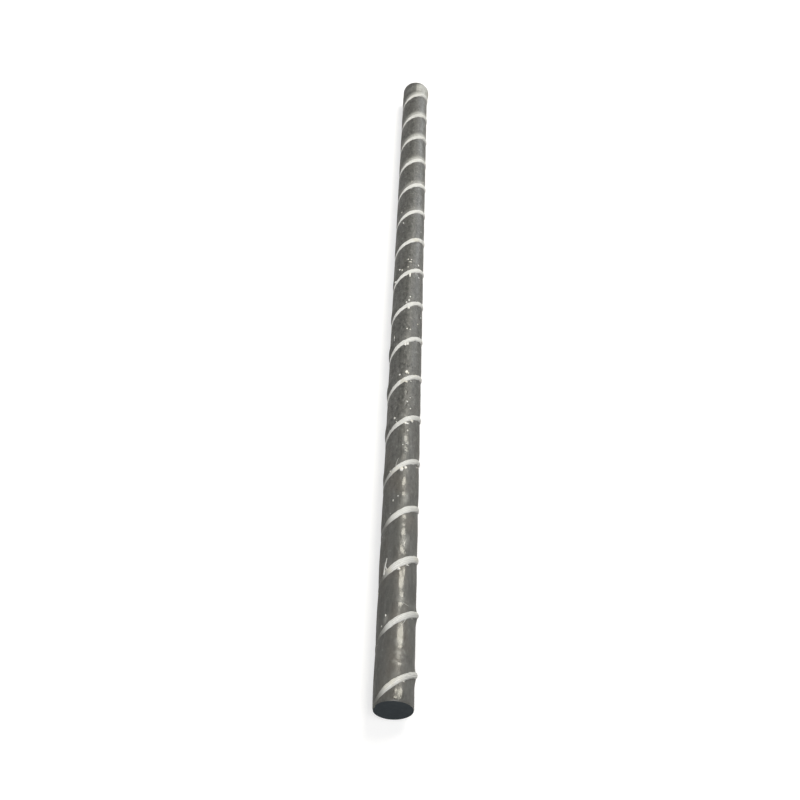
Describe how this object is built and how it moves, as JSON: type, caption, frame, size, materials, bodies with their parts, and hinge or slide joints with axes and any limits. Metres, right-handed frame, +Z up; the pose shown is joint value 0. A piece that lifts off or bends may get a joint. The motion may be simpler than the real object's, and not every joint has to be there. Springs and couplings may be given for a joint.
{
  "type": "fibre-reinforced polymer rebar",
  "caption": "Straight round composite reinforcing bar, sawn square at both ends, with one cord wound round it as a helical rib.",
  "frame": {"origin": "midway along the bar, on the surface that the winding rests on, below the rod's axis", "axes": "+Y along the rod's axis from the near sawn end to the far one, +Z up"},
  "size_m": [0.011, 0.275, 0.011],
  "materials": {
    "rod": "gloss",
    "winding": "satin"
  },
  "bodies": {
    "root": {"rod": "rod", "helical_winding": "winding"}
  },
  "joints": []
}
